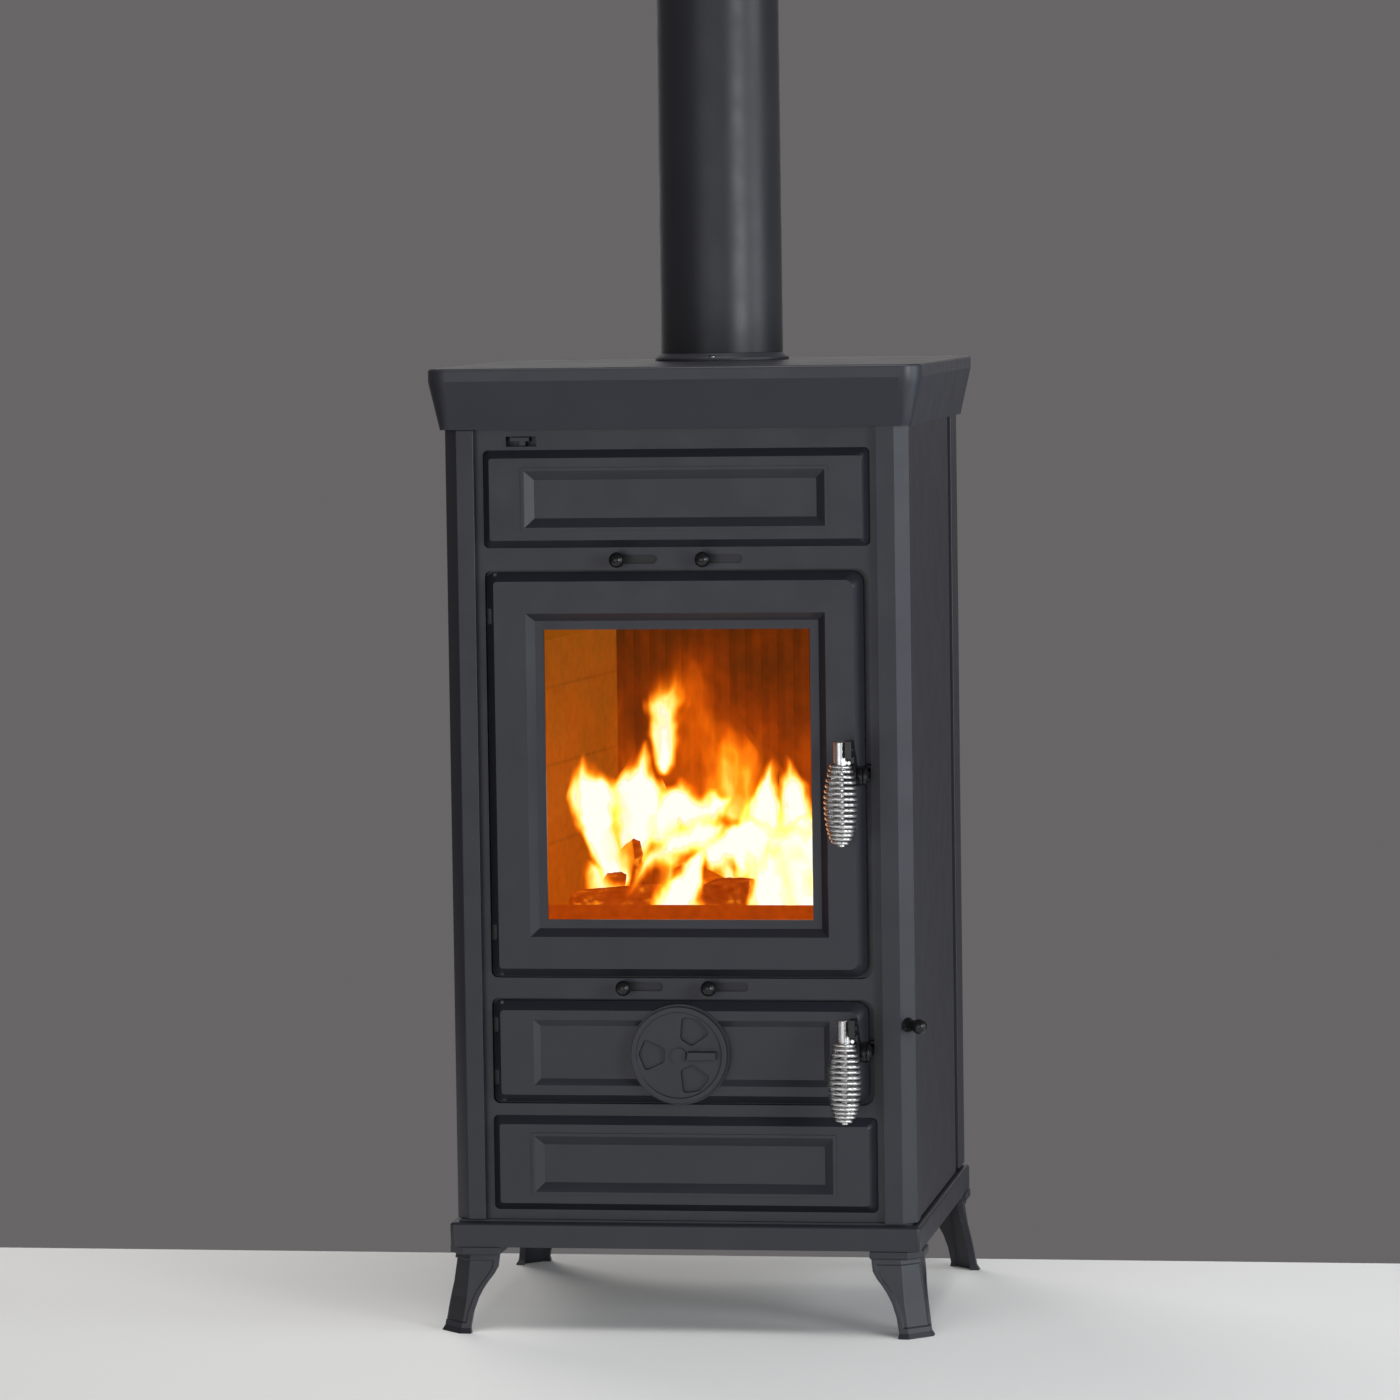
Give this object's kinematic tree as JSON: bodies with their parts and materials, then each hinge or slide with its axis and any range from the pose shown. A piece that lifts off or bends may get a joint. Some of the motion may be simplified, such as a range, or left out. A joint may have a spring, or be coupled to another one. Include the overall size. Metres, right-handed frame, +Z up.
{
  "type": "wood stove",
  "caption": "Upright cast iron wood stove on splayed feet, with a hinged glass fire door, hinged ash door, coil-grip latches, air slides, an air spinner, a riddling grate and a flue pipe.",
  "frame": {"origin": "on the floor, under the middle of the bounding box of stove, grips and pipe", "axes": "+Z up, +X to the right of someone facing the doors, -Y out of the doors towards them"},
  "size_m": [0.47, 0.4851, 1.418],
  "materials": {
    "black_iron": "satin anthracite stove paint",
    "inner_iron": "bare iron, sooted",
    "pipe_paint": "satin black stove paint on steel",
    "plain_steel": "plain",
    "bright_steel": "nickelled",
    "pan_steel": "matt",
    "glass": "clear ceramic glass",
    "rope": "braided glass fibre",
    "fire_lining": "heat-worn"
  },
  "bodies": {
    "stove": {"ash_floor": "inner_iron", "ash_pan": "pan_steel", "back_panel": "black_iron", "baffle": "fire_lining", "firebox_floor": "inner_iron", "firebox_wall_left": "inner_iron", "firebox_wall_right": "inner_iron", "flue_collar": "black_iron", "flue_pipe": "pipe_paint", "foot_bolts": "plain_steel", "foot_front_left": "black_iron", "foot_front_right": "black_iron", "foot_rear_left": "black_iron", "foot_rear_right": "black_iron", "front_plate": "black_iron", "front_post_left": "black_iron", "front_post_right": "black_iron", "hinge_pins": "plain_steel", "latch_keepers": "plain_steel", "liner_left": "fire_lining", "liner_right": "fire_lining", "log_guard": "inner_iron", "lower_panel": "black_iron", "m6_screws": "plain_steel", "plinth": "black_iron", "rear_liner": "fire_lining", "rear_post_left": "black_iron", "rear_post_right": "black_iron", "shutter_guides": "plain_steel", "side_panel_left": "black_iron", "side_panel_right": "black_iron", "tie_bolts": "plain_steel", "top_plate": "black_iron", "upper_panel": "black_iron"},
    "fire_door": {"fire_door": "black_iron", "fire_door_seal": "rope", "door_glass": "glass", "glass_gasket": "rope", "glass_clips": "plain_steel", "clip_screws": "plain_steel"},
    "fire_latch": {"fire_latch_lever": "black_iron", "fire_latch_hook": "black_iron", "fire_handle_rod": "bright_steel", "fire_handle_coil": "bright_steel"},
    "ash_door": {"ash_door": "black_iron", "ash_door_seal": "rope", "spinner_bolt": "plain_steel"},
    "ash_latch": {"ash_latch_lever": "black_iron", "ash_latch_hook": "black_iron", "ash_handle_rod": "bright_steel", "ash_handle_coil": "bright_steel"},
    "spinner": {"air_spinner": "black_iron"},
    "air_slide_upper_left": {"air_slide_upper_left": "black_iron"},
    "air_slide_upper_right": {"air_slide_upper_right": "black_iron"},
    "air_slide_lower_left": {"air_slide_lower_left": "black_iron"},
    "air_slide_lower_right": {"air_slide_lower_right": "black_iron"},
    "top_air_slide": {"top_air_slide": "black_iron"},
    "riddling": {"riddling_rod": "plain_steel", "riddling_knob": "black_iron"},
    "grate": {"grate": "inner_iron"}
  },
  "joints": [
    {"name": "fire_door_hinge", "type": "hinge", "parent": "stove", "child": "fire_door", "pos_m": [-0.1716, -0.17345, 0.5265], "axis": [0, 0, -1], "range_deg": [0, 110]},
    {"name": "fire_latch_turn", "type": "hinge", "parent": "fire_door", "child": "fire_latch", "pos_m": [0.1725, -0.19245, 0.5275], "axis": [-1, 0, 0], "range_deg": [0, 45]},
    {"name": "ash_door_hinge", "type": "hinge", "parent": "stove", "child": "ash_door", "pos_m": [-0.1716, -0.17345, 0.266], "axis": [0, 0, -1], "range_deg": [0, 110]},
    {"name": "ash_latch_turn", "type": "hinge", "parent": "ash_door", "child": "ash_latch", "pos_m": [0.1725, -0.19245, 0.2685], "axis": [-1, 0, 0], "range_deg": [0, 45]},
    {"name": "spinner_turn", "type": "hinge", "parent": "ash_door", "child": "spinner", "pos_m": [-0.0015, -0.18645, 0.2652], "axis": [0, -1, 0], "range_deg": [0, 60]},
    {"name": "air_slide_upper_left_move", "type": "slide", "parent": "stove", "child": "air_slide_upper_left", "axis": [1, 0, 0], "range_m": [0, 0.031]},
    {"name": "air_slide_upper_right_move", "type": "slide", "parent": "stove", "child": "air_slide_upper_right", "axis": [1, 0, 0], "range_m": [0, 0.031]},
    {"name": "air_slide_lower_left_move", "type": "slide", "parent": "stove", "child": "air_slide_lower_left", "axis": [1, 0, 0], "range_m": [0, 0.031]},
    {"name": "air_slide_lower_right_move", "type": "slide", "parent": "stove", "child": "air_slide_lower_right", "axis": [1, 0, 0], "range_m": [0, 0.031]},
    {"name": "top_air_slide_move", "type": "slide", "parent": "stove", "child": "top_air_slide", "axis": [1, 0, 0], "range_m": [0, 0.007]},
    {"name": "riddling_pull", "type": "slide", "parent": "stove", "child": "riddling", "axis": [0.7071, -0.7071, 0], "range_m": [0, 0.02]},
    {"name": "grate_turn", "type": "hinge", "parent": "stove", "child": "grate", "pos_m": [0, -0.01545, 0.348], "axis": [0, 0, -1], "range_deg": [0, 29.54]}
  ],
  "couplings": [
    {"joint": "grate_turn", "follows": "riddling_pull", "rad_per_m": 25.765}
  ]
}
